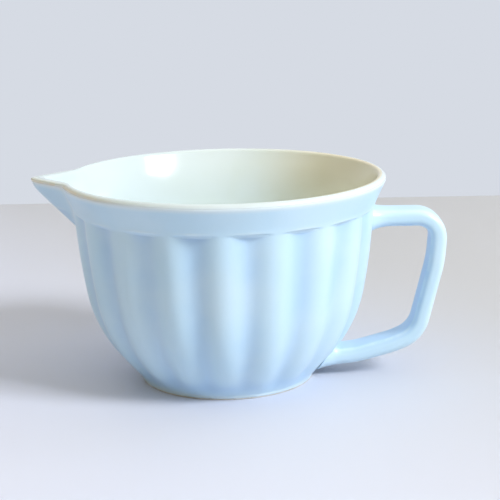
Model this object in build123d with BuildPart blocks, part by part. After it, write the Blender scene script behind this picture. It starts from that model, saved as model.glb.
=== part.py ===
from build123d import *
from math import cos, radians, sin, sqrt, tan
import os

# Mixing bowl of glazed stoneware, with a pouring spout and a strap handle.
# The origin is the centre of the foot on the table, +Z is up, the handle is at +X and the spout at -X.
# The clay is cast in three parts, luted together with slip, and then glazed: a white glaze lines the
# hollow and runs over the lip, and a pale blue glaze covers the outside down to a bare foot.
# Lengths are in millimetres, angles in degrees, and slopes are measured from the horizontal.

# --- Bowl ---
rim_radius = 80.0          # outside of the rounded lip
bowl_height = 103.3        # table to the top of the lip
lip_radius = 2.2           # roundness of the lip, half its thickness
wall_thickness = 5.0       # wall at a rib, with its glaze
glaze_thickness = 0.4      # one coat of glaze
slip_thickness = 0.8       # slip that lutes the spout and the handle to the wall
foot_radius = 43.6         # outside of the foot, with its glaze
foot_edge = 1.8            # height of the bare clay edge of the foot
foot_ring_width = 5.5      # flat ring that the bowl stands on
foot_recess = 3.0          # depth of the hollow under the floor
floor_height = 8.5         # table to the inside of the floor
floor_corner = 14.0        # inside rounding between the floor and the wall
lower_wall_length = 13.5   # straight start of the wall above the foot
lower_wall_slope = 48.0    # slope of the wall above the foot
upper_wall_slope = 86.5    # slope of the wall under the band
band_depth = 15.1          # plain band, from its lower edge to the top of the lip
band_flare = 5.6           # how far the lip stands out from the band's lower edge
white_depth = 2.0          # how far the white glaze runs down outside the lip

# --- Flutes ---
flute_count = 18
flute_depth = 2.1          # hollow of a flute under the band
flute_roundness = 17.0     # radius of a flute's cross-section
flute_drop = 2.8           # the flutes' line lies this much lower than the wall's, so they fade out

# --- Spout ---
spout_overhang = 16.0      # how far the tip of the spout stands out from the lip
spout_reach = rim_radius + spout_overhang
spout_half_angle = 45.0    # each side of the spout from the bowl's length axis
spout_tip_radius = 4.0     # roundness of the tip, seen from above
spout_wall = 5.2           # spout wall, measured level
spout_inside_radius = 1.6  # roundness of the channel's keel
spout_nose = 5.8           # height of the steep stretch of the keel under the tip
spout_nose_back = 2.4      # how far the keel runs back along that stretch
spout_keel_slope = 45.0    # slope of the keel below it
spout_depth = 42.0         # lip to the lowest section of the spout's form, inside the hollow
spout_back = 30.0          # lip to the flat back of the spout's form, inside the hollow
spout_base = rim_radius - spout_back

# --- Handle ---
handle_width = 18.0        # across the strap
handle_thickness = 8.4     # through the strap
handle_edge = 3.2          # rounded edges of the strap
handle_under_band = 3.6    # from the band's lower edge to the top of the strap's upper run
handle_overhang = 31.0     # how far the outside of the strap stands out from the lip
handle_root_depth = 20.0   # lip to the start of the upper run, inside the wall
handle_top = bowl_height - band_depth - handle_under_band - handle_thickness / 2
handle_reach = rim_radius + handle_overhang
handle_top_root = rim_radius - handle_root_depth
handle_low_corner = (handle_reach - 15.1, 20.9)   # distance from the axis, and height
handle_low_bend = (handle_reach - 27.0, 15.6)
handle_low_run = (foot_radius + 22.4, 10.6)
handle_low_root = (foot_radius - 5.6, 7.8)
handle_grip_bend = 22.0    # the grip is upright this far below the upper run, then leans in
handle_grip_lean = 1.6     # how far it has come in by that bend
handle_bend_radii = [10.5, 60.0, 16.0, 40.0, 50.0]
root_flare = 2.4           # how much each side of the strap spreads at the wall
root_flare_length = 8.0    # length of the strap over which it spreads

clear = 20.0               # how far the solids that cut another pass beyond it


def heading(slope):
    """The unit vector along a line of this slope."""
    return Vector(cos(radians(slope)), sin(radians(slope)))


def right_of(direction):
    """The unit vector to the right of a direction, which points out of the wall."""
    return Vector(direction.Y, -direction.X).normalized()


# The wall's line at the ribs: a straight start, and two arcs that meet tangentially and end under
# the band. Both arcs have tangents of the same length, which the span between them decides.
lower_heading = heading(lower_wall_slope)
upper_heading = heading(upper_wall_slope)
foot_corner = Vector(foot_radius, foot_edge)
belly_start = foot_corner + lower_heading * lower_wall_length
band_corner = Vector(rim_radius - band_flare, bowl_height - band_depth)
lip_centre = Vector(rim_radius - lip_radius, bowl_height - lip_radius)
belly_span = band_corner - belly_start
along_span = belly_span.dot(lower_heading + upper_heading)
turn = 2 * (1 - lower_heading.dot(upper_heading))
tangent_length = (sqrt(along_span**2 + turn * belly_span.dot(belly_span)) - along_span) / turn
belly_low = belly_start + lower_heading * tangent_length
belly_high = band_corner - upper_heading * tangent_length
belly_joint = (belly_low + belly_high) * 0.5
joint_heading = (belly_high - belly_low).normalized()


def wall_points(inset):
    """The wall's line moved inwards: foot, end of the straight, meeting of the arcs, band."""
    foot = foot_corner - right_of(lower_heading) * inset
    start = belly_start - right_of(lower_heading) * inset
    joint = belly_joint - right_of(joint_heading) * inset
    band = band_corner - right_of(upper_heading) * inset
    return foot, start, joint, band


def lip_tangent(point, radius, side):
    """Where a line from point touches the lip's circle, outside it (side 1) or inside it (-1)."""
    reach = lip_centre - point
    along = sqrt(reach.length**2 - radius**2)
    touch = (reach * along + Vector(reach.Y, -reach.X) * radius * side) * (along / reach.length**2)
    return point + touch


def pair(point):
    """A point of the wall's section as distance from the axis and height."""
    return point.X, point.Y


def flute_cutter(inset):
    """A round bar along the wall, which hollows one flute at +X in a wall moved inwards by inset."""
    foot, start, joint, band = [
        point - Vector(0, flute_drop) for point in wall_points(flute_depth - flute_roundness)
    ]
    with BuildPart() as cutter:
        with BuildLine(Plane.XZ) as middle:
            Line(pair(foot - lower_heading * clear), pair(start))
            TangentArc(pair(start), pair(joint), tangent=pair(lower_heading))
            TangentArc(pair(joint), pair(band), tangent=pair(joint_heading))
            Line(pair(band), pair(band + upper_heading * flute_drop))
        with BuildSketch(Plane(origin=middle.line @ 0, z_dir=middle.line % 0)):
            Circle(flute_roundness + inset)
        sweep()
    return cutter.part


def outer_form(inset):
    """The bowl's fluted outside, filled, moved inwards by inset."""
    foot, start, joint, band = wall_points(inset)
    touch = lip_tangent(band, lip_radius - inset, 1)
    crest = lip_centre + Vector(0, lip_radius - inset)
    with BuildPart() as form:
        with BuildSketch(Plane.XZ):
            with BuildLine():
                Polyline((0, crest.Y), (0, foot.Y), foot, start)
                TangentArc(start, joint, tangent=lower_heading)
                TangentArc(joint, band, tangent=joint_heading)
                Line(band, touch)
                TangentArc(touch, crest, tangent=touch - band)
                Line(crest, (0, crest.Y))
            make_face()
        revolve(axis=Axis.Z)
        flute = flute_cutter(inset)
        with PolarLocations(0, flute_count):
            add(flute, mode=Mode.SUBTRACT)
    return form.part


def hollow_form(growth):
    """The bowl's hollow, with the space above it, moved outwards by growth."""
    foot, start, joint, band = wall_points(wall_thickness - growth)
    floor = floor_height - growth
    floor_end = Vector(foot.X + (floor - foot.Y) / tan(radians(lower_wall_slope)), floor)
    crest = lip_centre + Vector(0, lip_radius - growth)
    touch = lip_tangent(band, lip_radius - growth, -1)
    with BuildPart() as form:
        with BuildSketch(Plane.XZ):
            with BuildLine():
                Line((0, bowl_height + clear), (0, floor))
                FilletPolyline((0, floor), floor_end, start, radius=floor_corner)
                TangentArc(start, joint, tangent=lower_heading)
                TangentArc(joint, band, tangent=joint_heading)
                Line(band, touch)
                TangentArc(touch, crest, tangent=touch - band)
                Polyline(crest, (crest.X, bowl_height + clear), (0, bowl_height + clear))
            make_face()
        revolve(axis=Axis.Z)
    return form.part


def spout_form(inset, top):
    """The spout's outside, filled up to top and back into the hollow, moved inwards by inset."""
    side = tan(radians(spout_half_angle))
    round_off = spout_tip_radius * (1 / sin(radians(spout_half_angle)) - 1)
    nose_reach = spout_reach - spout_nose_back
    low_reach = nose_reach - (spout_depth - spout_nose) / tan(radians(spout_keel_slope))
    levels = [
        (bowl_height - spout_depth, low_reach),
        (bowl_height - spout_nose, nose_reach),
        (bowl_height, spout_reach),
    ]
    with BuildPart() as form:
        for height, reach in levels:
            apex = reach + round_off - inset / sin(radians(spout_half_angle))
            half_width = (apex - spout_base) * side
            with BuildSketch(Plane.XY.offset(height)) as section:
                with BuildLine():
                    Polyline((-apex, 0), (-spout_base, half_width), (-spout_base, -half_width), close=True)
                make_face()
                tip = section.vertices().sort_by(Axis.X)[0]
                fillet(tip, max(spout_tip_radius - inset, spout_inside_radius))
        loft(ruled=True)
        if top > bowl_height:
            extrude(form.faces().sort_by(Axis.Z)[-1], amount=top - bowl_height)
        else:
            split(bisect_by=Plane.XY.offset(top), keep=Keep.BOTTOM)
    return form.part


def bend_radii(corners):
    """The radii of the strap's bends, smaller where two of them don't fit on the run between them."""
    runs = [Vector(after) - Vector(before) for before, after in zip(corners, corners[1:])]
    turns = [radians(one.get_angle(two)) for one, two in zip(runs, runs[1:])]
    reaches = [radius * tan(turn / 2) for radius, turn in zip(handle_bend_radii, turns)]
    needs = [one + two for one, two in zip([0, *reaches], [*reaches, 0])]
    shares = [min(1, 0.98 * run.length / need) for run, need in zip(runs, needs)]
    return [
        radius * min(one, two) for radius, one, two in zip(handle_bend_radii, shares, shares[1:])
    ]


def handle_form(inset):
    """The handle's strap, its roots spreading at the wall and reaching into it, moved inwards."""
    grip = handle_reach - handle_thickness / 2
    corners = [
        (handle_top_root, handle_top),
        (grip, handle_top),
        (grip - handle_grip_lean, handle_top - handle_grip_bend),
        handle_low_corner,
        handle_low_bend,
        handle_low_run,
        handle_low_root,
    ]
    low_wall = foot_radius + (handle_low_root[1] - foot_edge) / tan(radians(lower_wall_slope))
    wide = handle_width - 2 * inset
    thick = handle_thickness - 2 * inset
    edge = handle_edge - inset
    with BuildPart() as form:
        with BuildLine(Plane.XZ) as middle:
            FilletPolyline(*corners, radius=bend_radii(corners))
        strap_line = middle.line
        with BuildSketch(Plane(strap_line @ 0, x_dir=(0, 1, 0), z_dir=strap_line % 0)):
            RectangleRounded(wide, thick, edge)
        sweep()
        roots = [
            (strap_line @ 0, strap_line % 0, band_corner.X - handle_top_root),
            (strap_line @ 1, -(strap_line % 1), low_wall - handle_low_root[0]),
        ]
        for start, away, to_wall in roots:
            gap_side = Vector(0, 0, -1) if start.Z > bowl_height / 2 else Vector(0, 0, 1)
            for spread, along in ((2 * root_flare, -root_flare_length), (0, root_flare_length)):
                centre = start + away * (to_wall + along) + gap_side * spread / 2
                with BuildSketch(Plane(centre, x_dir=(0, 1, 0), z_dir=away)):
                    RectangleRounded(wide + 2 * spread, thick + spread, edge)
            loft()
    return form.part


# The forms that the pieces are cut from, at the face of the glaze and at the face of the clay
clay_foot = wall_points(glaze_thickness)[0]
clay_top = bowl_height - glaze_thickness
glazed_outside = outer_form(0)
clay_outside = outer_form(glaze_thickness)
glazed_hollow = hollow_form(0)
clay_hollow = hollow_form(glaze_thickness)
glazed_spout = spout_form(0, bowl_height)
clay_spout = spout_form(glaze_thickness, clay_top)
glazed_channel = spout_form(spout_wall, bowl_height + clear)
clay_channel = spout_form(spout_wall - glaze_thickness, bowl_height + clear)
spout_notch = spout_form(glaze_thickness - slip_thickness, bowl_height)
glazed_handle = handle_form(0)
clay_handle = handle_form(glaze_thickness)
slip_outside = outer_form(glaze_thickness - slip_thickness)

with BuildPart() as whole_clay:
    add(clay_outside)
    with BuildSketch(Plane.XY):
        Circle(clay_foot.X)
    extrude(amount=clay_foot.Y)
    add(clay_spout)
    add(clay_hollow, mode=Mode.SUBTRACT)
    add(clay_channel, mode=Mode.SUBTRACT)
    with BuildSketch(Plane.XY):
        Circle(clay_foot.X - foot_ring_width)
    extrude(amount=foot_recess, mode=Mode.SUBTRACT)

with BuildPart() as whole_coat:
    add(glazed_outside)
    add(glazed_spout)
    add(glazed_hollow, mode=Mode.SUBTRACT)
    add(glazed_channel, mode=Mode.SUBTRACT)
    add(whole_clay.part, mode=Mode.SUBTRACT)
    with BuildSketch(Plane.XY):
        Circle(clay_foot.X - foot_ring_width)
    extrude(amount=foot_recess, mode=Mode.SUBTRACT)

# The white glaze is the coat inside this surface, which lies within the wall and over the lip
with BuildPart() as white_side:
    add(hollow_form(2 * glaze_thickness))
    add(spout_form(spout_wall - 2 * glaze_thickness, bowl_height + clear))
    with BuildSketch(Plane.XY.offset(bowl_height - white_depth)):
        Circle(spout_reach + clear)
    extrude(amount=white_depth + clear)

# Bowl: floor, foot ring, fluted wall, band and lip in one casting, notched for the spout
with BuildPart() as bowl_body:
    add(whole_clay.part)
    add(spout_notch, mode=Mode.SUBTRACT)

# Spout: an open V whose sides run on through the wall's notch
with BuildPart() as pouring_spout:
    add(whole_clay.part)
    add(clay_spout, mode=Mode.INTERSECT)

# Slip between the spout and the notch
with BuildPart() as spout_slip:
    add(whole_clay.part)
    add(spout_notch, mode=Mode.INTERSECT)
    add(clay_spout, mode=Mode.SUBTRACT)

# Handle: one strap from under the band to just above the foot
with BuildPart() as handle:
    add(clay_handle)
    add(slip_outside, mode=Mode.SUBTRACT)

# Slip between each root of the handle and the wall
with BuildPart() as upper_handle_slip:
    add(clay_handle)
    add(slip_outside, mode=Mode.INTERSECT)
    add(clay_outside, mode=Mode.SUBTRACT)
    split(bisect_by=Plane.XY.offset(bowl_height / 2), keep=Keep.TOP)

with BuildPart() as lower_handle_slip:
    add(clay_handle)
    add(slip_outside, mode=Mode.INTERSECT)
    add(clay_outside, mode=Mode.SUBTRACT)
    split(bisect_by=Plane.XY.offset(bowl_height / 2), keep=Keep.BOTTOM)

# White glaze in the hollow and the spout's channel, over the lip and a little way down outside
with BuildPart() as lining_glaze:
    add(whole_coat.part)
    add(white_side.part, mode=Mode.INTERSECT)

# Pale blue glaze on the outside of each clay piece
with BuildPart() as outer_glaze:
    add(whole_coat.part)
    add(white_side.part, mode=Mode.SUBTRACT)
    add(glazed_outside, mode=Mode.INTERSECT)
    add(clay_handle, mode=Mode.SUBTRACT)

with BuildPart() as spout_glaze:
    add(whole_coat.part)
    add(white_side.part, mode=Mode.SUBTRACT)
    add(glazed_outside, mode=Mode.SUBTRACT)

with BuildPart() as handle_glaze:
    add(glazed_handle)
    add(clay_handle, mode=Mode.SUBTRACT)
    add(glazed_outside, mode=Mode.SUBTRACT)

# The same glaze on the underside of the floor, inside the bare ring
with BuildPart() as underside_glaze:
    with BuildSketch(Plane.XY.offset(foot_recess)):
        Circle(clay_foot.X - foot_ring_width)
    extrude(amount=-glaze_thickness)

pieces = {
    "bowl_body": bowl_body,
    "pouring_spout": pouring_spout,
    "handle": handle,
    "spout_slip": spout_slip,
    "upper_handle_slip": upper_handle_slip,
    "lower_handle_slip": lower_handle_slip,
    "lining_glaze": lining_glaze,
    "outer_glaze": outer_glaze,
    "spout_glaze": spout_glaze,
    "handle_glaze": handle_glaze,
    "underside_glaze": underside_glaze,
}
os.makedirs("parts", exist_ok=True)
for label, piece in pieces.items():
    piece.part.label = label
    export_step(piece.part, f"parts/{label}.step")
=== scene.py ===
# %% [markdown]
# # A fluted mixing bowl with a spout and a handle
# The real bowl is stoneware: clay cast in a mould, a spout and a handle luted on with slip, and
# two glazes melted over it. We keep those layers apart, because each one shows somewhere: clay at
# the bare foot, white glaze inside and over the lip, pale blue glaze outside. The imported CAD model
# is the frame: it says how big the bowl is and where it stands, and every new piece fits in it.

# %% Load the frame
import math

import bmesh
import bpy
from mathutils import Matrix, Vector, noise


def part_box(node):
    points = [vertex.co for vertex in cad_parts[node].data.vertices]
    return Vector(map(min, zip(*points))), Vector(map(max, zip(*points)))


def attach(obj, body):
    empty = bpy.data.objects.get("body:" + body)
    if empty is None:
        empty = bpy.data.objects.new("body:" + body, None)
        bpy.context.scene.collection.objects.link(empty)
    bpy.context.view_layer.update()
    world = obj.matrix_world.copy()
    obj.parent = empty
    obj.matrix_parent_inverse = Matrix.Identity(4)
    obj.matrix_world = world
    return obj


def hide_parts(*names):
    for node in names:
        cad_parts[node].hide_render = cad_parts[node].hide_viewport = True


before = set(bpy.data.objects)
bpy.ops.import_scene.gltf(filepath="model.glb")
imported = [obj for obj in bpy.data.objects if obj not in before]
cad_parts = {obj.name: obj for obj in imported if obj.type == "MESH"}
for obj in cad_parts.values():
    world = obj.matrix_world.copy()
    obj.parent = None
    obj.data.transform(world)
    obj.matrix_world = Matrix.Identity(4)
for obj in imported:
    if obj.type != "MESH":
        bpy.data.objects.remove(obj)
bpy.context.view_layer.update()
print("CAD nodes:", sorted(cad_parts))

# %% [markdown]
# ## Sizes
# The overall sizes come from the frame: the lip's radius and height from the white lining, the
# foot from the underside glaze. The rest are the maker's own sizes, in millimetres turned into
# metres, so that a potter could read them off.

# %% Sizes from the frame, and the potter's own
MM = 0.001
lining_low, lining_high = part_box("lining_glaze")
strap_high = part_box("handle_glaze")[1]
underside_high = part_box("underside_glaze")[1]

bowl_height = lining_high.z
rim_radius = lining_high.x
spout_reach = -lining_low.x
recess_radius = underside_high.x
recess_height = underside_high.z

lip_radius = 2.2 * MM
wall_thickness = 5.0 * MM
glaze = 0.4 * MM
foot_ring_width = 5.5 * MM
glaze_over_foot = 0.3 * MM
foot_radius = recess_radius + foot_ring_width + glaze_over_foot
foot_edge = 1.8 * MM
floor_height = 8.5 * MM
floor_corner = 14.0 * MM
lower_wall_length = 13.5 * MM
lower_wall_slope = 48.0
upper_wall_slope = 86.5
band_depth = 15.1 * MM
band_flare = 5.6 * MM
band_softness = 3.0 * MM
inner_softness = 9.0 * MM
white_depth = 2.0 * MM
bare_edge = 0.7 * MM
print("bowl", round(bowl_height / MM, 1), "mm high,", round(2 * rim_radius / MM, 1), "mm across")
print("handle reaches", round(strap_high.x / MM, 1), "mm from the bowl's axis")

# %% [markdown]
# ## The wall's outline
# A potter's template for this bowl is a line in one plane: a straight start above the foot, a
# round belly, a nearly upright wall, the flared band and the round lip. Two arcs that meet
# smoothly (a biarc) make the belly. Arcs keep their shape when they are moved in or out, so the
# same template, moved in by a coat of glaze, gives the clay.

# %% Arcs and lines as close points
DENSE = 0.1 * MM


def heading(slope):
    """The unit vector along a line of this slope, as (outwards, upwards)."""
    return Vector((math.cos(math.radians(slope)), math.sin(math.radians(slope))))


def right_of(direction):
    """The unit vector to the right of a direction: on the wall's outline it points outwards."""
    return Vector((direction.y, -direction.x)).normalized()


def line_points(start, end):
    """Close points along a straight line, without its first."""
    count = max(1, round((end - start).length / DENSE))
    return [start.lerp(end, step / count) for step in range(1, count + 1)]


def arc_points(start, direction, end):
    """Close points along the arc that leaves start in a direction and ends at end."""
    chord = end - start
    left = -right_of(direction)
    radius = chord.length_squared / (2 * chord.dot(left))
    centre = start + left * radius
    turn = 2 * math.asin(max(-1.0, min(1.0, chord.length / (2 * abs(radius)))))
    if chord.dot(direction) < 0:
        turn = 2 * math.pi - turn
    count = max(2, round(abs(radius) * turn / DENSE))
    spoke = start - centre
    side = math.copysign(1.0, radius)
    turns = [side * turn * step / count for step in range(1, count + 1)]
    return [centre + Matrix.Rotation(angle, 2) @ spoke for angle in turns]


quarter = arc_points(Vector((1, 0)), Vector((0, 1)), Vector((0, 1)))
print("a quarter of a circle has", len(quarter), "points and ends at", quarter[-1][:])


# %% [markdown]
# The biarc needs only its two ends and their slopes. Both arcs get tangents of equal length, and
# that length is the root of one quadratic. The lip's circle is joined by lines that touch it.

# %% The template, moved inwards by any amount
foot_corner = Vector((foot_radius, foot_edge))
band_corner = Vector((rim_radius - band_flare, bowl_height - band_depth))
lip_centre = Vector((rim_radius - lip_radius, bowl_height - lip_radius))
lower_heading = heading(lower_wall_slope)
upper_heading = heading(upper_wall_slope)
belly_start = foot_corner + lower_heading * lower_wall_length
belly_end = band_corner - upper_heading * band_softness
belly_span = belly_end - belly_start
along_span = belly_span.dot(lower_heading + upper_heading)
turning = 2 * (1 - lower_heading.dot(upper_heading))
root = math.sqrt(along_span**2 + turning * belly_span.length_squared)
tangent_length = (root - along_span) / turning
belly_low = belly_start + lower_heading * tangent_length
belly_high = belly_end - upper_heading * tangent_length
belly_joint = (belly_low + belly_high) / 2
joint_heading = (belly_high - belly_low).normalized()


def lip_touch(point, radius, side):
    """Where a line from point touches the lip's circle, outside it (1) or inside it (-1)."""
    reach = lip_centre - point
    along = math.sqrt(reach.length_squared - radius**2)
    sideways = Vector((reach.y, -reach.x)) * radius * side
    return point + (reach * along + sideways) * (along / reach.length_squared)


def wall_outline(inset, lip, side):
    """Close points of the wall from its foot to the lip's top, moved inwards by inset.

    The band bends off the wall in a short arc outside (side 1) and in a longer one inside (-1).
    """
    foot = foot_corner - right_of(lower_heading) * inset
    start = belly_start - right_of(lower_heading) * inset
    joint = belly_joint - right_of(joint_heading) * inset
    end = belly_end - right_of(upper_heading) * inset
    band = band_corner - right_of(upper_heading) * inset
    touch = lip_touch(band, lip, side)
    flare = (touch - band).normalized()
    band_end = band + flare * band_softness
    points = [foot] + line_points(foot, start)
    points += arc_points(start, lower_heading, joint)
    points += arc_points(joint, joint_heading, end)
    if side < 0:
        points = [point for point in points if point.y < band.y - inner_softness]
        end, arriving = points[-1], (points[-1] - points[-2]).normalized()
        run = flare.cross(band - end) / flare.cross(arriving)
        band_end = end + (arriving + flare) * run
        points += arc_points(end, arriving, band_end)
    else:
        points += arc_points(end, upper_heading, band_end)
    points += line_points(band_end, touch)
    points += arc_points(touch, flare, lip_centre + Vector((0, lip)))
    return points


def outside_outline(inset):
    """The outside, from the foot up to the lip's top."""
    return wall_outline(inset, lip_radius - inset, 1)


def inside_outline(growth):
    """The hollow, from the middle of the floor up to the lip's top, grown by a coat."""
    wall = wall_outline(wall_thickness - growth, lip_radius - growth, -1)
    floor = floor_height - growth
    climb = (floor - wall[0].y) / lower_heading.y
    corner = wall[0] + lower_heading * climb
    reach = floor_corner * math.tan(math.radians(lower_wall_slope / 2))
    round_start = corner - Vector((reach, 0))
    round_end = corner + lower_heading * reach
    points = [Vector((0, floor))] + line_points(Vector((0, floor)), round_start)
    points += arc_points(round_start, Vector((1, 0)), round_end)
    return points + [point for point in wall if point.y > round_end.y]


print("outline:", len(outside_outline(0)), "points outside,", len(inside_outline(0)), "inside")

# %% [markdown]
# Modelling needs far fewer points than that. One helper keeps every so many of them, and another
# rounds the corners of a line of straight runs, for the foot and for the handle.

# %% Rows picked from the close points, and rounded corners
def thinned(points, spacing):
    """Every so many points, with the first and the last. Spacing is a length or a function."""
    wanted = spacing if callable(spacing) else lambda point: spacing
    kept = [points[0]]
    run = 0.0
    for before, point in zip(points, points[1:]):
        run += (point - before).length
        if run >= wanted(point):
            kept.append(point)
            run = 0.0
    if run > 0 and run < wanted(points[-1]) / 2 and len(kept) > 2:
        kept.pop()
    if kept[-1] != points[-1]:
        kept.append(points[-1])
    return kept


def filleted(corners, radii):
    """Close points along straight runs whose corners are rounded."""
    points = [corners[0]]
    for before, corner, after, radius in zip(corners, corners[1:], corners[2:], radii):
        arriving = (corner - before).normalized()
        leaving = (after - corner).normalized()
        reach = radius * math.tan(arriving.angle(leaving) / 2)
        points += line_points(points[-1], corner - arriving * reach)
        points += arc_points(points[-1], arriving, corner + leaving * reach)
    return points + line_points(points[-1], corners[-1])


print("rows at 2 mm:", len(thinned(outside_outline(0), 2 * MM)), "outside")

# %% [markdown]
# ## The flutes and the spout as a pull on the wall
# A thrown bowl is the same all round. The flutes press its outside in at eighteen places, and the
# spout draws it out at one. Both are told here as a distance from the axis in each direction and
# at each height. The clay and both glazes are turned separately, but they all follow this rule,
# so they fit each other like the real layers.

# %% Flutes
flute_count = 18
flute_depth = 2.8 * MM
flute_flatness = 0.12
ledge_top = -0.1 * MM
ledge_height = 1.2 * MM
flute_fade_low = 1.0 * MM
flute_fade_high = 12.0 * MM


def smooth_step(value, low, high):
    """0 below low, 1 above high, and an S curve between."""
    share = max(0.0, min(1.0, (value - low) / (high - low)))
    return share * share * (3 - 2 * share)


def smooth_above(value, softness):
    """The larger of value and 0, with a soft bend."""
    return (value + math.sqrt(value * value + softness * softness)) / 2


def flute_share(angle):
    """1 in the middle of a flute, 0 on a rib. A flute lies under the handle, at angle 0."""
    wave = math.cos(angle * flute_count)
    return (1 + wave + flute_flatness * (wave * wave - 1)) / 2


def flute_depth_at(height, radius):
    """How deep the flutes are: nothing on the band, and less towards the foot."""
    under_band = smooth_step(band_corner.y - height, ledge_top, ledge_height)
    above_foot = smooth_step(height, flute_fade_low, flute_fade_high)
    return flute_depth * under_band * above_foot * max(radius, 0.0) / band_corner.x


for height in (3 * MM, 10 * MM, 50 * MM, 86 * MM, 95 * MM):
    depth = flute_depth_at(height, band_corner.x)
    print("flute at", round(height / MM), "mm is", round(depth / MM, 2), "mm deep")

# %% [markdown]
# From above, the spout is a level V whose tip follows a keel. Where the V lies outside the round
# wall, the wall is drawn out to it.

# %% Spout
spout_slope = math.tan(math.radians(45.0))
tip_roundness = 0.028
spout_wall = 5.2 * MM
nose_height = 5.8 * MM
nose_back = 2.4 * MM
nose_lean = nose_back / nose_height
keel_bend = 1.5 * MM
outer_crease = 0.6 * MM
channel_crease = 1.8 * MM
sector_edge, sector_core = 0.6, 0.85


def keel_reach(height):
    """Bowl axis to the keel of the spout: steep under the tip, then running back at 45 degrees."""
    below = bowl_height - height
    run_back = smooth_above(below - nose_height, keel_bend) * (1 - nose_lean)
    return spout_reach - below * nose_lean - run_back


def v_distance(angle, reach):
    """Bowl axis to the side of a level V whose tip is at reach. The spout points to angle pi."""
    ahead = -math.cos(angle)
    aside = math.sqrt(math.sin(angle) ** 2 + tip_roundness**2)
    return reach * (tip_roundness + spout_slope) / (aside + ahead * spout_slope)


print("spout's tip is", round(keel_reach(bowl_height) / MM, 1), "mm from the axis")

# %% [markdown]
# Fired ware is never quite true: slow noise moves everything by a tenth of a millimetre, and the
# line between the glazes wavers a little more. One function then applies every pull to a point.

# %% All pulls together
white_line = bowl_height - white_depth
warp = 0.11 * MM
warp_scale, sag_scale = 34, 1.7
wave_height = 0.2 * MM
wave_reach = 1.6 * MM
wave_scale, ripple_scale = 3.1, 9.7


def line_wave(height, side, round_trip):
    """The white glaze ends outside in a line that wavers a little, and the blue follows it."""
    nearness = 1 - abs(height - white_line) / wave_reach
    if side > 0 or nearness <= 0:
        return 0.0
    wave = noise.noise(round_trip * wave_scale) + 0.5 * noise.noise(round_trip * ripple_scale)
    return wave_height * nearness * wave


def pulled(radius, height, side, inset, angle):
    """Where a point of the outline goes in one direction. Side is 0 outside the wall, 1 inside."""
    free = smooth_step(height, foot_edge, 6 * foot_edge)
    round_trip = Vector((math.cos(angle), math.sin(angle), 3))
    spot = Vector((math.cos(angle) * radius, math.sin(angle) * radius, height))
    height += line_wave(height, side, round_trip)
    height -= warp * free * (1 + noise.noise(round_trip * sag_scale))
    radius -= warp * free * (1 + noise.noise(spot * warp_scale))
    radius -= (1 - side) * flute_share(angle) * flute_depth_at(height, radius)
    ahead = smooth_step(-math.cos(angle), sector_edge, sector_core)
    if ahead > 0 and height > bowl_height / 2:
        outer = keel_reach(height) - inset * math.sqrt(2)
        inner = keel_reach(height) - (spout_wall - inset) * math.sqrt(2)
        crease = outer_crease + (channel_crease - outer_crease) * side
        drawn = v_distance(angle, outer + (inner - outer) * side)
        radius += smooth_above(drawn - radius, crease) * ahead
    return Vector((radius * math.cos(angle), radius * math.sin(angle), height))


for degrees in (0, 10, 90, 170, 180):
    spot = pulled(lip_centre.x + lip_radius, lip_centre.y, 0, 0, math.radians(degrees))
    print("lip at", degrees, "degrees is", round(spot.xy.length / MM, 2), "mm from the axis")

# %% [markdown]
# ## From a row of points to a turned piece
# Each layer starts as one edge chain, its cross-section, in a bmesh. The spin operator turns it
# about the axis. Every vertex carries its radius, height, side and inset in layers, which spin and
# subdivide copy or blend. So after the columns at the spout are subdivided for a sharper crease,
# one pass over the vertices can pull them all to their places.

# %% Turning a cross-section
fine_steps = 432
hidden_steps = 216
spout_columns = math.radians(28)
layer_names = ("radius", "height", "side", "inset")


def turned(rows, closed, steps):
    """Spins rows of (point, side, inset) about the axis and pulls them into flutes and spout."""
    mesh = bmesh.new()
    for name in layer_names:
        mesh.verts.layers.float.new(name)
    layers = [mesh.verts.layers.float[name] for name in layer_names]
    chain = []
    for point, side, inset in rows:
        vert = mesh.verts.new((point.x, 0, point.y))
        for layer, value in zip(layers, (point.x, point.y, side, inset)):
            vert[layer] = value
        chain.append(vert)
    edges = [mesh.edges.new(ends) for ends in zip(chain, chain[1:])]
    if closed:
        edges.append(mesh.edges.new((chain[-1], chain[0])))
    bmesh.ops.spin(
        mesh, geom=chain + edges, cent=(0, 0, 0), axis=(0, 0, 1), angle=2 * math.pi,
        steps=steps, use_merge=True,
    )
    on_axis = [vert for vert in mesh.verts if vert.co.xy.length < 1e-6]
    bmesh.ops.remove_doubles(mesh, verts=on_axis, dist=1e-6)
    radius, height, side, inset = layers
    across = []
    for edge in mesh.edges:
        one, two = edge.verts
        level = one[height] == two[height] and one[radius] == two[radius]
        if level and all(abs(math.atan2(vert.co.y, -vert.co.x)) < spout_columns for vert in edge.verts):
            across.append(edge)
    bmesh.ops.subdivide_edges(mesh, edges=across, cuts=1)
    for vert in mesh.verts:
        angle = math.atan2(vert.co.y, vert.co.x)
        vert.co = pulled(vert[radius], vert[height], vert[side], vert[inset], angle)
    bmesh.ops.recalc_face_normals(mesh, faces=mesh.faces)
    return mesh


print("columns round the bowl:", fine_steps)

# %% [markdown]
# Two more helpers finish a piece. One writes a value on each vertex, which is how a mesh tells a
# material where the glaze is thick and where light and shade are painted. The other makes the
# object and names the CAD nodes it stands for, so that those are hidden.

# %% Values on the vertices, and finished pieces
def shaded(mesh, name, rule):
    """Writes a value from 0 to 1 on every vertex, which a material reads by its name."""
    target = mesh.verts.layers.float.new(name)
    radius, height, side, _ = [mesh.verts.layers.float[layer] for layer in layer_names]
    for vert in mesh.verts:
        angle = math.atan2(vert.co.y, vert.co.x)
        vert[target] = rule(vert[radius], vert[height], vert[side], angle)


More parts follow.
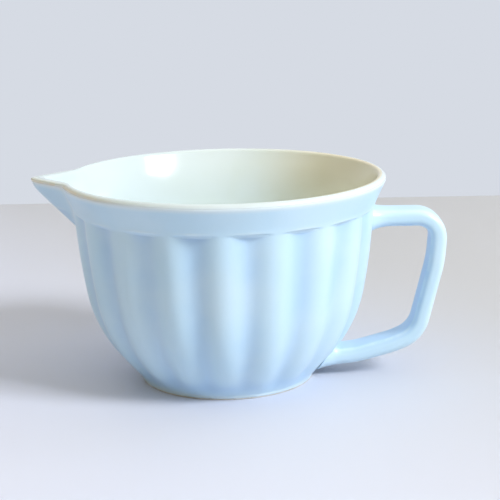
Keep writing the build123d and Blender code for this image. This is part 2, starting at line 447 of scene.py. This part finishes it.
def finished(mesh, name, material, slot, *nodes):
    """Makes a smooth object that rides on the bowl's body and stands for CAD nodes."""
    data = bpy.data.meshes.new(name)
    mesh.to_mesh(data)
    mesh.free()
    for face in data.polygons:
        face.use_smooth = True
    data.materials.append(material)
    piece = bpy.data.objects.new(name, data)
    bpy.context.collection.objects.link(piece)
    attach(piece, "root")
    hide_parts(*nodes)
    print(name, "has", len(data.polygons), "faces")
    return piece


print("each vertex carries:", ", ".join(layer_names))

# %% [markdown]
# ## Materials
# Stoneware glaze is a thin glass. Its colour is deep where it pools, as in the flutes, and breaks
# paler where it runs off an edge. Fine waves called orange peel make its highlights soft and
# uneven. The meshes carry values from 0 to 1 for this and for painted light: "pool" and "thin" for
# the blue glaze, where "pool" also paints shade on the handle's inner face, "warm" and "cool" for
# the white, which paint a warm reflection on its shaded inner wall and a cool cast on its lit one,
# and "mist" and "break" for the line between them. Colours are mixed with these and with noise on
# Object coordinates, so that nothing looks printed.

# %% Helpers for node materials
def srgb(red, green, blue):
    """A colour, 0 to 255, as the linear values that a shader works with."""
    def linear(value):
        value /= 255
        return value / 12.92 if value <= 0.04045 else ((value + 0.055) / 1.055) ** 2.4
    return (linear(red), linear(green), linear(blue), 1.0)


class Recipe:
    """A node material with short ways to add and join its nodes."""

    def __init__(self, name):
        self.material = bpy.data.materials.new(name)
        self.material.use_nodes = True
        self.tree = self.material.node_tree
        self.shader = self.tree.nodes["Principled BSDF"]
        self.place = self.tree.nodes.new("ShaderNodeTexCoord").outputs["Object"]

    def join(self, source, target):
        if isinstance(source, bpy.types.NodeSocket):
            self.tree.links.new(source, target)
        else:
            target.default_value = source

    def noise(self, scale, detail, roughness=0.5):
        node = self.tree.nodes.new("ShaderNodeTexNoise")
        node.inputs["Scale"].default_value = scale
        node.inputs["Detail"].default_value = detail
        node.inputs["Roughness"].default_value = roughness
        self.join(self.place, node.inputs["Vector"])
        return node.outputs["Fac"]

    def value(self, name):
        node = self.tree.nodes.new("ShaderNodeAttribute")
        node.attribute_name = name
        return node.outputs["Fac"]

    def ranged(self, source, low, high, new_low, new_high):
        node = self.tree.nodes.new("ShaderNodeMapRange")
        node.interpolation_type = "SMOOTHSTEP"
        for socket, value in zip(node.inputs, (source, low, high, new_low, new_high)):
            self.join(value, socket)
        return node.outputs["Result"]

    def times(self, first, second):
        node = self.tree.nodes.new("ShaderNodeMath")
        node.operation = "MULTIPLY"
        self.join(first, node.inputs[0])
        self.join(second, node.inputs[1])
        return node.outputs["Value"]

    def mixed(self, share, first, second):
        node = self.tree.nodes.new("ShaderNodeMix")
        node.data_type = "RGBA"
        self.join(share, node.inputs["Factor"])
        self.join(first, node.inputs["A"])
        self.join(second, node.inputs["B"])
        return node.outputs["Result"]

    def surface(self, share, first, second):
        node = self.tree.nodes.new("ShaderNodeMixShader")
        for socket, value in zip(node.inputs, (share, first, second)):
            self.join(value, socket)
        self.join(node.outputs["Shader"], self.tree.nodes["Material Output"].inputs["Surface"])
        return node.outputs["Shader"]

    def bumped(self, height, distance, strength, under=None):
        node = self.tree.nodes.new("ShaderNodeBump")
        node.inputs["Distance"].default_value = distance
        node.inputs["Strength"].default_value = strength
        self.join(height, node.inputs["Height"])
        if under is not None:
            self.join(under, node.inputs["Normal"])
        return node.outputs["Normal"]


# %% [markdown]
# The blue glaze is satin: its roughness varies a little, and its bump has slow waves and fine
# orange peel. Where it meets the white it turns nearly white itself.

# %% Pale blue glaze
blue_recipe = Recipe("pale_blue_glaze")
blue = srgb(196, 228, 249)
blue_deep = srgb(170, 206, 241)
blue_pale = srgb(216, 237, 249)
line_pale = srgb(226, 241, 249)
break_tan = srgb(236, 229, 205)
cloud = blue_recipe.ranged(blue_recipe.noise(28, 3), 0.35, 0.7, 0.0, 0.35)
pool_and_shade = blue_recipe.ranged(blue_recipe.value("pool_and_shade"), 0.0, 1.0, 0.0, 0.8)
grains = blue_recipe.ranged(blue_recipe.noise(160, 4, 0.6), 0.25, 0.6, 0.35, 1.0)
# The deep blue is glaze pooling on the bowl and painted shade on the handle's inner face.
tint = blue_recipe.mixed(pool_and_shade, blue, blue_deep)
tint = blue_recipe.mixed(cloud, tint, blue_pale)
tint = blue_recipe.mixed(blue_recipe.times(blue_recipe.value("thin"), grains), tint, blue_pale)
tint = blue_recipe.mixed(blue_recipe.value("mist"), tint, line_pale)
tint = blue_recipe.mixed(blue_recipe.times(blue_recipe.value("break"), grains), tint, break_tan)
blue_recipe.join(tint, blue_recipe.shader.inputs["Base Color"])
satin = blue_recipe.ranged(blue_recipe.noise(60, 3), 0.3, 0.7, 0.29, 0.38)
blue_recipe.join(satin, blue_recipe.shader.inputs["Roughness"])
slow_waves = blue_recipe.bumped(blue_recipe.noise(55, 2), 0.6 * MM, 0.25)
orange_peel = blue_recipe.bumped(blue_recipe.noise(620, 2), 0.10 * MM, 0.25, slow_waves)
blue_recipe.join(orange_peel, blue_recipe.shader.inputs["Normal"])
blue_glaze = blue_recipe.material
print("blue glaze has", len(blue_recipe.tree.nodes), "nodes")

# %% [markdown]
# The white glaze is glossier, because it is poured thicker. On the spout's side it is painted cooler
# where the window lights the inner wall, and under the handle a warm reflection of the room is
# painted on the shaded inner wall. The window shows in it as a soft bright patch.

# %% White glaze
white_recipe = Recipe("white_glaze")
white = srgb(226, 239, 245)
white_green = srgb(222, 235, 235)
white_cool_tone_and_cast = srgb(206, 222, 231)
white_tan_reflection = srgb(240, 231, 200)
cloud = white_recipe.ranged(white_recipe.noise(22, 3), 0.35, 0.7, 0.0, 1.0)
grains = white_recipe.ranged(white_recipe.noise(150, 4, 0.65), 0.36, 0.58, 0.45, 1.0)
tint = white_recipe.mixed(cloud, white, white_green)
# Painted cool cast on the inner wall that the window lights, and a plain cooler tone outside the lip.
tint = white_recipe.mixed(white_recipe.value("cool_tone_and_cast"), tint, white_cool_tone_and_cast)
# Painted warm reflection of the room on the shaded inner wall.
tint = white_recipe.mixed(white_recipe.value("warm_reflection"), tint, white_tan_reflection)
tint = white_recipe.mixed(white_recipe.value("mist"), tint, line_pale)
tint = white_recipe.mixed(white_recipe.times(white_recipe.value("break"), grains), tint, break_tan)
white_recipe.join(tint, white_recipe.shader.inputs["Base Color"])
gloss = white_recipe.ranged(white_recipe.noise(70, 3), 0.3, 0.7, 0.13, 0.20)
white_recipe.join(gloss, white_recipe.shader.inputs["Roughness"])
white_waves = white_recipe.bumped(white_recipe.noise(45, 2), 0.5 * MM, 0.2)
white_peel = white_recipe.bumped(white_recipe.noise(500, 2), 0.08 * MM, 0.15, white_waves)
white_recipe.join(white_peel, white_recipe.shader.inputs["Normal"])
white_glaze = white_recipe.material
print("white glaze has", len(white_recipe.tree.nodes), "nodes")

# %% [markdown]
# Fired clay has no shine. It shows only at the foot, where the bowl stood in the kiln. The slip is
# the same clay, thinned with water, and finer.

# %% Bare clay and slip
def clay_material(name, colour, dark, speck, grain):
    """Fired clay: matt, clouded, with small iron specks and a sandy surface."""
    recipe = Recipe(name)
    cloud = recipe.ranged(recipe.noise(120, 4), 0.35, 0.65, 0.0, 1.0)
    specks = recipe.ranged(recipe.noise(1500, 1), 0.66, 0.72, 0.0, 0.8)
    tint = recipe.mixed(specks, recipe.mixed(cloud, colour, dark), speck)
    matt = recipe.ranged(recipe.noise(400, 3), 0.3, 0.7, 0.7, 0.9)
    sand = recipe.bumped(recipe.noise(grain, 3), 0.15 * MM, 0.5)
    recipe.join(tint, recipe.shader.inputs["Base Color"])
    recipe.join(matt, recipe.shader.inputs["Roughness"])
    recipe.join(sand, recipe.shader.inputs["Normal"])
    return recipe.material


clay = clay_material(
    "bare_stoneware", srgb(224, 226, 224), srgb(210, 209, 202), srgb(160, 148, 130), 1300
)
slip = clay_material("dried_slip", srgb(232, 224, 208), srgb(220, 208, 190), srgb(170, 150, 124), 2000)
print("clay and slip:", clay.name, slip.name)

# %% [markdown]
# ## The stoneware body
# The clay lies one coat of glaze inside the bowl's faces. Only its foot is bare: a flat ring with
# softened edges, round a shallow recess. Its cross-section runs from the middle of the underside
# out round the foot, up the wall, over the lip and down to the middle of the floor. The spout was
# luted on and sponged over, so that body and spout read as one clay form, and they are one here.

# %% Clay cross-section
foot_rounding = 0.5 * MM
clay_foot = foot_radius - glaze * math.sin(math.radians(lower_wall_slope))
lip_rows, ledge_rows, band_rows, wall_rows = 0.35 * MM, 0.3 * MM, 0.9 * MM, 1.9 * MM
lip_zone = 2.4 * lip_radius
ledge_zone = 2.2 * MM
foot_zone = 9 * MM


def row_spacing(point):
    """Distance between rows: fine at the ledge and the lip, and wider on plain wall."""
    if point.y > bowl_height - lip_zone:
        return lip_rows
    if abs(point.y - band_corner.y) < ledge_zone:
        return ledge_rows
    if point.y > band_corner.y or point.y < foot_zone:
        return band_rows
    return wall_rows


def side_at(point, lip):
    """Over the lip, the side turns smoothly from 0, outside, to 1, inside."""
    return smooth_step((lip_centre.x - point.x) / lip, -0.95, 0.95)


def rows_of(points, spacing, side, inset, lip):
    """Rows for turning, with each point's side and inset."""
    rows = []
    for point in thinned(points, spacing):
        over_lip = point.y > lip_centre.y
        rows.append((point, side_at(point, lip) if over_lip else side, inset))
    return rows


foot_outline = filleted(
    [
        Vector((0, recess_height)),
        Vector((clay_foot - foot_ring_width, recess_height)),
        Vector((clay_foot - foot_ring_width, 0)),
        Vector((clay_foot, 0)),
        Vector((clay_foot, foot_edge)),
    ],
    [foot_rounding] * 3,
)
print("foot outline:", len(foot_outline), "points")

# %% [markdown]
# Now the clay can be turned. Most of it is hidden under glaze, so it needs fewer columns.

# %% Clay body
clay_lip = lip_radius - glaze
clay_rows = [(point, 0, glaze) for point in thinned(foot_outline, 0.4 * MM)]
clay_rows += rows_of(outside_outline(glaze), row_spacing, 0, glaze, clay_lip)
clay_rows += rows_of(inside_outline(glaze), row_spacing, 1, glaze, clay_lip)[-2::-1]
clay_mesh = turned(clay_rows, closed=False, steps=hidden_steps)
finished(clay_mesh, "stoneware_bowl", clay, "clay", "bowl_body", "pouring_spout", "spout_slip")

# %% [markdown]
# ## The blue glaze outside
# The coat is a closed skin: its cross-section goes up the glaze's face from the foot to the white
# line, and back down the clay's face. The white coat starts from the same line, so both outlines
# are cut at exactly that height.

# %% Outlines cut at a height
def crossing(points, height):
    """The point where a rising outline passes a height."""
    for before, after in zip(points, points[1:]):
        if before.y <= height < after.y:
            return before.lerp(after, (height - before.y) / (after.y - before.y))


def below(points, height):
    """The outline up to exactly a height."""
    return [point for point in points if point.y < height] + [crossing(points, height)]


def above(points, height):
    """The outline from exactly a height."""
    return [crossing(points, height)] + [point for point in points if point.y > height]


print("the white glaze ends", round(white_line / MM, 1), "mm up")

# %% [markdown]
# A runny glaze gathers in hollows and leaves edges. "pool" is high in the flutes, under the ledge
# and above the foot. "thin" is high on the ledge's edge, at the very foot, and along the keel and
# the crease of the spout. "mist" and "break" follow the white line.

# %% Where the glaze gathers, thins and breaks
def bump_at(value, middle, width):
    """1 at a middle value, falling to nothing over a width to each side."""
    return math.exp(-(((value - middle) / width) ** 2))


def spout_crease(radius, height, angle):
    """1 where the spout leaves the round wall, and along its keel."""
    if height < bowl_height / 2 or math.cos(angle) > -0.6:
        return 0.0
    gap = v_distance(angle, keel_reach(height)) - radius
    keel = bump_at(math.sin(angle), 0, 0.035) if gap > 0 else 0.0
    return max(keel, bump_at(gap, 0, 1.2 * MM))


def blue_pool(radius, height, side, angle):
    """How thick the blue glaze stands."""
    in_flute = flute_share(angle) * flute_depth_at(height, radius) / flute_depth
    under_ledge = bump_at(height, band_corner.y - 2.2 * MM, 1.6 * MM) * flute_share(angle)
    at_foot = bump_at(height, 7 * MM, 4 * MM)
    return min(1.0, 0.75 * in_flute + 0.3 * under_ledge + 0.6 * at_foot)


def blue_thin(radius, height, side, angle):
    """How far the blue glaze has run off an edge."""
    ledge = bump_at(height, band_corner.y + 0.3 * MM, 0.7 * MM) * flute_share(angle)
    foot = 1 - smooth_step(height, 1.2 * MM, 3.5 * MM)
    return max(0.8 * ledge, 0.9 * foot, spout_crease(radius, height, angle))


def line_mist(radius, height, side, angle):
    """How far the two glazes run into each other beside the white line."""
    below_line = 1 - smooth_step(white_line - height, 0.0, 3.0 * MM)
    above_line = 1 - smooth_step(height - white_line, 0.0, 1.3 * MM)
    return 0.9 * below_line * above_line * (side < 0.5)


def line_break(radius, height, side, angle):
    """How far the glaze has run off the lip's shoulder, so that tan clay shows through."""
    shoulder = bump_at(height, white_line + 0.7 * MM, 0.9 * MM) * (side < 0.5)
    return shoulder * smooth_step(-math.cos(angle), 0.5, 0.92)


for place, angle in (("in a flute", 0), ("on a rib", math.pi / flute_count)):
    print("pool_and_shade", place, "is", round(blue_pool(band_corner.x, 50 * MM, 0, angle), 2))

# %% [markdown]
# The blue coat ends below in a thin edge, which leaves the foot bare.

# %% Blue coat
blue_end = [
    Vector((foot_radius - 0.3 * MM, bare_edge)),
    Vector((foot_radius, bare_edge + 0.5 * MM)),
]
blue_rows = [(point, 0, 0) for point in blue_end]
blue_rows += rows_of(below(outside_outline(0), white_line), row_spacing, 0, 0, lip_radius)
blue_rows += rows_of(below(outside_outline(glaze), white_line), 3 * MM, 0, glaze, clay_lip)[::-1]
blue_mesh = turned(blue_rows, closed=True, steps=fine_steps)
for name, rule in (("pool_and_shade", blue_pool), ("thin", blue_thin), ("mist", line_mist), ("break", line_break)):
    shaded(blue_mesh, name, rule)
finished(blue_mesh, "glazed_outside", blue_glaze, "blue_glaze", "outer_glaze", "spout_glaze")

# %% [markdown]
# ## The white glaze inside
# It lines the hollow and the spout's channel, runs over the lip, and ends a little way down the
# outside, at the same points as the blue, so that no gap shows. Round the spout it breaks on the
# lip's outer shoulder: it thins until the tan clay shows through.

# %% White coat
def painted_warm_reflection(radius, height, side, angle):
    """A painted warm reflection of the room on the shaded inner wall on the handle's side, high up."""
    high_up = smooth_step(height, 45 * MM, 85 * MM)
    return 0.85 * (side > 0.5) * smooth_step(math.cos(angle), 0.1, 0.9) * high_up


def cool_tone_and_painted_cast(radius, height, side, angle):
    """Outside the lip, a plain cooler tone. Inside, on the spout's side, painted light: the window's
    cool cast on the wall it lights.
    """
    if side < 0.5:
        return 0.5
    return 0.8 * smooth_step(-math.cos(angle), -0.2, 0.7) * smooth_step(height, 30 * MM, 70 * MM)


white_rows = rows_of(inside_outline(0), row_spacing, 1, 0, lip_radius)
white_rows += rows_of(above(outside_outline(0), white_line), row_spacing, 0, 0, lip_radius)[-2::-1]
white_rows += rows_of(above(outside_outline(glaze), white_line), 0.8 * MM, 0, glaze, clay_lip)
white_rows += rows_of(inside_outline(glaze), 3 * MM, 1, glaze, clay_lip)[-2::-1]
white_mesh = turned(white_rows, closed=False, steps=fine_steps)
shaded(white_mesh, "warm_reflection", painted_warm_reflection)
shaded(white_mesh, "cool_tone_and_cast", cool_tone_and_painted_cast)
shaded(white_mesh, "mist", line_mist)
shaded(white_mesh, "break", line_break)
finished(white_mesh, "white_lining", white_glaze, "white_glaze", "lining_glaze")

# %% [markdown]
# ## The handle
# A pulled handle is a flat strap of clay, bent while soft and pressed onto the wall at both ends.
# Its line is a chain of straight runs with rounded bends. Rings of its cross-section are extruded
# along that line, one after the other. Near the wall each point of a ring is sent on until it
# meets the fluted wall, and the ring spreads there as a thumbed-down root does.

# %% The strap's line
strap_width = 18.0 * MM
strap_thickness = 8.4 * MM
strap_edge = 3.2 * MM
strap_crown = 0.35 * MM
strap_under_band = 3.6 * MM
strap_overhang = 31.0 * MM
strap_bends = [10.5 * MM, 60 * MM, 16 * MM, 40 * MM, 50 * MM]
root_length = 10.0 * MM
root_flare = 2.4 * MM
root_flare_length = 8.0 * MM

strap_top = band_corner.y - strap_under_band - strap_thickness / 2
strap_grip = rim_radius + strap_overhang - strap_thickness / 2
low_run = Vector((foot_radius + 22.4 * MM, 10.6 * MM))
low_root = Vector((foot_radius - 5.6 * MM, 7.8 * MM))
strap_line = filleted(
    [
        Vector((band_corner.x + root_length, strap_top)),
        Vector((strap_grip, strap_top)),
        Vector((strap_grip - 1.6 * MM, strap_top - 22 * MM)),
        Vector((strap_grip - 10.9 * MM, 20.9 * MM)),
        Vector((strap_grip - 22.8 * MM, 15.6 * MM)),
        low_run,
        low_run + (low_root - low_run) / 4,
    ],
    strap_bends,
)
print("strap is", round(strap_width / MM, 1), "mm wide and ends", round(low_root.y / MM, 1), "mm up")

# %% [markdown]
# To end on the fluted wall, the strap has to find it. One helper tells how far a point stands off
# the wall. Another sends a point back along the strap, and halves its step until it meets the wall.

# %% Finding the wall, and the strap's section
wall_line = outside_outline(0)
longest_travel = 30 * MM
halvings = 24


def wall_gap(spot):
    """How far a point stands off the bowl's outside, level."""
    low, high = 0, len(wall_line) - 1
    while high - low > 1:
        middle = (low + high) // 2
        if wall_line[middle].y < spot.z:
            low = middle
        else:
            high = middle
    angle = math.atan2(spot.y, spot.x)
    return spot.xy.length - pulled(wall_line[low].x, spot.z, 0, 0, angle).xy.length


def to_wall(spot, away):
    """How far a point travels against the direction away before it meets the wall."""
    near, far = 0.0, longest_travel
    for _ in range(halvings):
        middle = (near + far) / 2
        if wall_gap(spot - away * middle) > 0:
            near = middle
        else:
            far = middle
    return near


def section_points(inset):
    """The strap's cross-section: flat faces with a slight crown, and rounded edges."""
    wide = strap_width / 2 - inset
    thick = strap_thickness / 2 - inset
    corners = [(0, thick), (wide, thick), (wide, -thick), (-wide, -thick), (-wide, thick), (0, thick)]
    ring = filleted([Vector(corner) for corner in corners], [strap_edge - inset] * 4)
    points = thinned(ring, 0.8 * MM)[:-1]
    return [Vector((w, t - math.copysign(strap_crown, t) * (w / wide) ** 2)) for w, t in points]


print("strap line:", len(strap_line), "points; section:", len(section_points(0)), "points")

# %% [markdown]
# A ring near the wall can't be flat, because the wall is fluted. So each of its points is sent
# back along the strap by its own distance to the wall, and the rings blend from that shape into
# the plain section within a centimetre.

# %% Rings along the strap and at its roots
root_steps = (8.5, 7.0, 5.5, 4.2, 3.1, 2.2, 1.5, 0.9, 0.4)
strap_spots = thinned(strap_line, 1.3 * MM)
strap_ways = [(after - before).normalized() for before, after in zip(strap_spots, strap_spots[1:])]
strap_ways.append(strap_ways[-1])
strap_ways = [strap_ways[0]] + [(one + two).normalized() for one, two in zip(strap_ways, strap_ways[1:])]


def placed(spot, way, w, t):
    """A point of the section, w across the strap and t through it, at a spot of the line."""
    outwards = -right_of(way)
    return Vector((spot.x + outwards.x * t, w, spot.y + outwards.y * t))


def root_ring(section, upper, gap):
    """The section near the wall, spread and sent on until each point stands gap off the wall."""
    spot, way = (strap_spots[0], strap_ways[0]) if upper else (strap_spots[-1], strap_ways[-1])
    away = Vector((way.x, 0, way.y)) * (1 if upper else -1)
    spread = root_flare * max(0.0, 1 - gap / root_flare_length) ** 2
    ring = []
    for w, t in section:
        travel = to_wall(placed(spot, way, w, t), away)
        w *= 1 + 2 * spread / strap_width
        t *= 1 + (2 if t < 0 else 0.8) * spread / strap_thickness
        ring.append(placed(spot, way, w, t) - away * (travel * (1 - gap / root_length)))
    return ring


print("rings along the strap:", len(strap_spots))

# %% [markdown]
# The skin then grows from ring to ring. Extruding one ring's edges gives the next ring, whose
# vertices are moved to their places. A layer of whole numbers, which the extrusion copies,
# remembers which point of the section each vertex is.

# %% Skinning the rings
def skinned(rings, section, closed_ends):
    """Extrudes the first ring's edges through all the others."""
    mesh = bmesh.new()
    mesh.verts.layers.int.new("order")
    for name in ("thin", "pool_and_shade"):
        mesh.verts.layers.float.new(name)
    order = mesh.verts.layers.int["order"]
    thin, pool_and_shade = [mesh.verts.layers.float[name] for name in ("thin", "pool_and_shade")]
    first = [mesh.verts.new(spot) for spot in rings[0]]
    for index, (vert, (w, t)) in enumerate(zip(first, section)):
        vert[order] = index
        past_flat = (abs(w) - strap_width / 2 + strap_edge) / strap_edge
        vert[thin] = 0.8 * bump_at(past_flat, 0.45, 0.3)
        # The strap's inner face, towards the bowl, gets painted shade through this value, which mixes in
        # the deep blue.
        vert[pool_and_shade] = smooth_step(-t / strap_thickness, 0.1, 0.42)
    edges = [mesh.edges.new(ends) for ends in zip(first, first[1:] + first[:1])]
    for ring in rings[1:]:
        grown = bmesh.ops.extrude_edge_only(mesh, edges=edges)["geom"]
        edges = [item for item in grown if isinstance(item, bmesh.types.BMEdge)]
        for item in grown:
            if isinstance(item, bmesh.types.BMVert):
                item.co = ring[item[order]]
    if closed_ends:
        bmesh.ops.edgeloop_fill(mesh, edges=[edge for edge in mesh.edges if edge.is_boundary])
    bmesh.ops.recalc_face_normals(mesh, faces=mesh.faces)
    return mesh


def strap_mesh(inset, last_gap, closed_ends):
    """The whole strap, ending at last_gap off the wall's face."""
    section = section_points(inset)
    gaps = [step * MM for step in root_steps if step * MM > last_gap] + [last_gap]
    rings = [root_ring(section, True, gap) for gap in reversed(gaps)]
    for spot, way in zip(strap_spots, strap_ways):
        rings.append([placed(spot, way, w, t) for w, t in section])
    rings += [root_ring(section, False, gap) for gap in gaps]
    return skinned(rings, section, closed_ends)


print("rings in the glaze:", len(strap_spots) + 2 * (len(root_steps) + 1))

# %% [markdown]
# The handle is three layers again: a coat of glaze that is open where it meets the wall, the clay
# inside it, and a pad of slip at each root. A Solidify modifier gives the coat its thickness.

# %% Glaze, clay and slip of the handle
inside_glaze = glaze + 0.03 * MM
slip_edge = 0.4 * MM
handle_coat = finished(
    strap_mesh(0, -0.3 * MM, False), "handle_coat", blue_glaze, "blue_glaze", "handle_glaze"
)
skin = handle_coat.modifiers.new("glaze thickness", "SOLIDIFY")
skin.thickness = glaze
skin.offset = -1
finished(strap_mesh(inside_glaze, slip_edge, True), "stoneware_handle", clay, "clay", "handle")
for name, upper in (("upper_handle_slip", True), ("lower_handle_slip", False)):
    section = section_points(inside_glaze)
    pad_rings = [root_ring(section, upper, gap) for gap in (slip_edge, 0.0, -slip_edge)]
    pad = skinned(pad_rings, section, True)
    finished(pad, name.replace("handle_slip", "slip_pad"), slip, "slip", name)

# %% [markdown]
# ## The CAD piece that stays
# The glazed disc inside the foot ring is right as the CAD has it. It only needs its finish.

# %% Finish for the underside
underside = bpy.data.objects["underside_glaze"]
if not underside.material_slots:
    underside.data.materials.append(blue_glaze)
for material_slot in underside.material_slots:
    material_slot.material = blue_glaze
print("underside wears", underside.material_slots[0].material.name)

# %% [markdown]
# ## The table, the light and the camera
# The bowl stands on a pale table before a pale wall. Each is one sheet of paint that shows from its
# front only, so that a camera behind the wall or under the table still sees the bowl. Seen by the
# camera or in a highlight, the wall glows evenly in its own pale colour.

# %% Stage
stage_size = 3.0
wall_distance = 0.456
room_pale = srgb(214, 219, 228)
shade_slant = (1.0, 0.7, 0.0)


def stage_sheet(name, rotation, place, recipe):
    """A flat sheet, which isn't part of the bowl."""
    mesh = bmesh.new()
    bmesh.ops.create_grid(mesh, x_segments=8, y_segments=8, size=stage_size)
    bmesh.ops.rotate(mesh, verts=mesh.verts, cent=(0, 0, 0), matrix=rotation)
    bmesh.ops.translate(mesh, verts=mesh.verts, vec=place)
    data = bpy.data.meshes.new(name)
    mesh.to_mesh(data)
    mesh.free()
    data.materials.append(recipe.material)
    sheet = bpy.data.objects.new(name, data)
    bpy.context.collection.objects.link(sheet)


def paint(name, low, high, far):
    """Soft, slightly uneven paint, with painted shade: greyer away from the front left."""
    recipe = Recipe(name)
    tint = recipe.mixed(recipe.ranged(recipe.noise(3, 3), 0.3, 0.7, 0.0, 1.0), low, high)
    slant = recipe.tree.nodes.new("ShaderNodeVectorMath")
    slant.operation = "DOT_PRODUCT"
    recipe.join(recipe.place, slant.inputs[0])
    slant.inputs[1].default_value = shade_slant
    tint = recipe.mixed(recipe.ranged(slant.outputs["Value"], -0.2, 0.3, 0.0, 1.0), tint, far)
    recipe.join(tint, recipe.shader.inputs["Base Color"])
    recipe.shader.inputs["Roughness"].default_value = 0.55
    return recipe


def one_sided(recipe, painted):
    """Shows a shader on the front of a sheet and leaves its back clear."""
    behind = recipe.tree.nodes.new("ShaderNodeNewGeometry").outputs["Backfacing"]
    clear = recipe.tree.nodes.new("ShaderNodeBsdfTransparent").outputs["BSDF"]
    recipe.surface(behind, painted, clear)


# The table's far colour is painted shade: greyer to the right and back, where less light falls.
table_paint = paint("table_paint", srgb(217, 223, 245), srgb(221, 227, 247), srgb(195, 197, 203))
one_sided(table_paint, table_paint.shader.outputs["BSDF"])
stage_sheet("table", Matrix.Identity(3), (0, 0, 0), table_paint)

wall_paint = paint("backdrop_paint", srgb(222, 226, 234), srgb(228, 231, 238), srgb(222, 226, 234))
ray = wall_paint.tree.nodes.new("ShaderNodeLightPath")
seen = wall_paint.tree.nodes.new("ShaderNodeMath")
seen.operation = "MAXIMUM"
wall_paint.join(ray.outputs["Is Camera Ray"], seen.inputs[0])
wall_paint.join(ray.outputs["Is Glossy Ray"], seen.inputs[1])
glow = wall_paint.tree.nodes.new("ShaderNodeEmission")
glow.inputs["Color"].default_value = room_pale
even = wall_paint.surface(
    seen.outputs["Value"], wall_paint.shader.outputs["BSDF"], glow.outputs["Emission"]
)
one_sided(wall_paint, even)
upright = Matrix.Rotation(math.radians(90), 3, "X")
stage_sheet("backdrop", upright, (0, wall_distance, 0), wall_paint)
print("wall stands", wall_distance, "m behind the bowl's axis")

# %% [markdown]
# A soft window in front, to the right, lights the bowl. It is large and far off, so its shadows
# are soft at their edges.

# %% Window
window_azimuth = math.radians(-30)
window_elevation = math.radians(36)
window_distance = 3.0
window_size = 0.9
window_power = 80.0
window_tint = (0.97, 0.985, 1.0)
window_way = Vector((
    math.cos(window_azimuth) * math.cos(window_elevation),
    math.sin(window_azimuth) * math.cos(window_elevation),
    math.sin(window_elevation),
))
window = bpy.data.lights.new("window", "AREA")
window.shape = "SQUARE"
window.size = window_size
window.energy = window_power
window.color = window_tint
holder = bpy.data.objects.new("window", window)
holder.location = window_way * window_distance
aim = Vector((0, 0, bowl_height / 2)) - holder.location
holder.rotation_euler = aim.to_track_quat("-Z", "Y").to_euler()
bpy.context.collection.objects.link(holder)
print("window at", [round(value, 2) for value in holder.location])

# %% [markdown]
# The room fills the shadows with a warmer light, most of it from the ceiling: its strength grows
# with the height of the direction it comes from. The camera sees the room as pale as the wall.

# %% Room light
room_tint = (1.0, 0.88, 0.62, 1.0)
room_low, room_high = 0.16, 0.82
world = bpy.data.worlds.new("daylight")
world.use_nodes = True
sky = world.node_tree
room_light = sky.nodes["Background"]
room_light.inputs["Color"].default_value = room_tint
direction = sky.nodes.new("ShaderNodeTexCoord")
axes = sky.nodes.new("ShaderNodeSeparateXYZ")
climb = sky.nodes.new("ShaderNodeMapRange")
climb.inputs["To Min"].default_value = room_low
climb.inputs["To Max"].default_value = room_high
room_seen = sky.nodes.new("ShaderNodeBackground")
room_seen.inputs["Color"].default_value = room_pale
looked_at = sky.nodes.new("ShaderNodeLightPath")
either = sky.nodes.new("ShaderNodeMixShader")
for source, target in (
    (direction.outputs["Generated"], axes.inputs["Vector"]),
    (axes.outputs["Z"], climb.inputs["Value"]),
    (climb.outputs["Result"], room_light.inputs["Strength"]),
    (looked_at.outputs["Is Camera Ray"], either.inputs[0]),
    (room_light.outputs["Background"], either.inputs[1]),
    (room_seen.outputs["Background"], either.inputs[2]),
    (either.outputs["Shader"], sky.nodes["World Output"].inputs["Surface"]),
):
    sky.links.new(source, target)
bpy.context.scene.world = world
bpy.context.scene.view_settings.view_transform = "Standard"
print("room light:", room_low, "at eye level,", room_high, "overhead")

# %% [markdown]
# The camera looks a little down on the bowl, square to the line from the spout to the handle. Its
# small shift frames the bowl without tilting the picture.

# %% Camera
camera_elevation = math.radians(14.082)
camera_azimuth = math.radians(1.0)
camera_distance = 9 * rim_radius
camera_roll = math.radians(-1.226)

lens = bpy.data.cameras.new("camera")
lens.lens = 103.03
lens.sensor_width = 36
lens.shift_x = 0.04897
lens.shift_y = 0.04909
lens.clip_start = 0.01
camera = bpy.data.objects.new("camera", lens)
back = Vector((
    math.cos(camera_elevation) * math.sin(camera_azimuth),
    -math.cos(camera_elevation) * math.cos(camera_azimuth),
    math.sin(camera_elevation),
))
camera.location = Vector((0, 0, bowl_height / 2)) + back * camera_distance
facing = (-back).to_track_quat("-Z", "Y").to_matrix().to_4x4()
camera.rotation_euler = (facing @ Matrix.Rotation(camera_roll, 4, "Z")).to_euler()
bpy.context.collection.objects.link(camera)
bpy.context.scene.camera = camera
print("camera at", [round(value, 3) for value in camera.location])

# %% Finish
bpy.context.view_layer.update()
